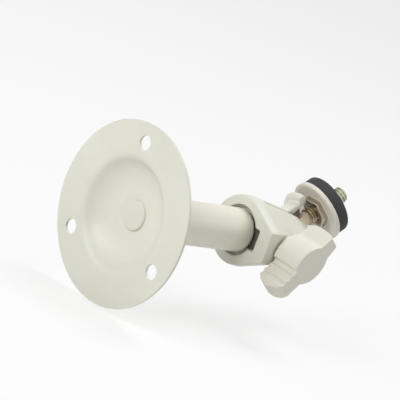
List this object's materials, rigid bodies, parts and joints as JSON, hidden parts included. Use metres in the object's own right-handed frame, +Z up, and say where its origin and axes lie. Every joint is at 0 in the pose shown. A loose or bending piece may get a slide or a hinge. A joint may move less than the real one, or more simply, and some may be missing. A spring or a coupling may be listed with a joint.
{
  "type": "camera bracket",
  "caption": "Wall or ceiling bracket for a small camera: pressed round flange, stem, swivel clamp body with a wing knob, and a tilting threaded stud with a plate and pad.",
  "frame": {"origin": "centre of the flange on the wall plane, the centre of its screw circle", "axes": "+X along the stem away from the wall, +Z up, the stud tilts in the XZ plane, wing knob towards -Y"},
  "size_m": [0.1055, 0.066, 0.066],
  "materials": {
    "white_coat": "satin powder coat",
    "white_plastic": "satin moulded",
    "black_pad": "matt",
    "bright_steel": "turned, zinc plated",
    "dark_nylon": "matt"
  },
  "bodies": {
    "wall_arm": {"base_flange": "white_coat", "stem": "white_coat", "pivot_screw": "bright_steel", "pivot_washer": "bright_steel", "spring_washer": "bright_steel"},
    "swivel_head": {"swivel_body": "white_coat", "collar_bush": "dark_nylon", "clamp_nut": "bright_steel"},
    "knob_seat": {"knob_washer": "bright_steel"},
    "wing": {"wing_knob": "white_plastic", "clamp_stud": "bright_steel"},
    "camera_head": {"ball_stud": "bright_steel"},
    "pad_seat": {"camera_pad": "black_pad"},
    "lock_ring": {"camera_plate": "white_plastic", "lock_nut": "bright_steel"}
  },
  "joints": [
    {"name": "pan", "type": "hinge", "parent": "wall_arm", "child": "swivel_head", "pos_m": [0, 0, 0], "axis": [1, 0, 0], "continuous": true},
    {"name": "tilt", "type": "hinge", "parent": "swivel_head", "child": "camera_head", "pos_m": [0.08, 0, 0], "axis": [0, -1, 0], "range_deg": [-15, 15]},
    {"name": "clamp_slide", "type": "slide", "parent": "swivel_head", "child": "knob_seat", "axis": [0, -1, 0], "range_m": [0, 0.0016]},
    {"name": "knob_turn", "type": "hinge", "parent": "knob_seat", "child": "wing", "pos_m": [0.0678, 0, 0], "axis": [0, -1, 0], "range_deg": [0, 720]},
    {"name": "pad_slide", "type": "slide", "parent": "camera_head", "child": "pad_seat", "axis": [0.7749, 0, 0.632], "range_m": [0, 0.00381]},
    {"name": "lock_ring_turn", "type": "hinge", "parent": "pad_seat", "child": "lock_ring", "pos_m": [0.09399, 0, 0.01141], "axis": [0.7749, 0, 0.632], "range_deg": [0, 1080]}
  ],
  "couplings": [
    {"joint": "clamp_slide", "follows": "knob_turn", "m_per_rad": 0.00012732},
    {"joint": "pad_slide", "follows": "lock_ring_turn", "m_per_rad": 0.00020213}
  ]
}
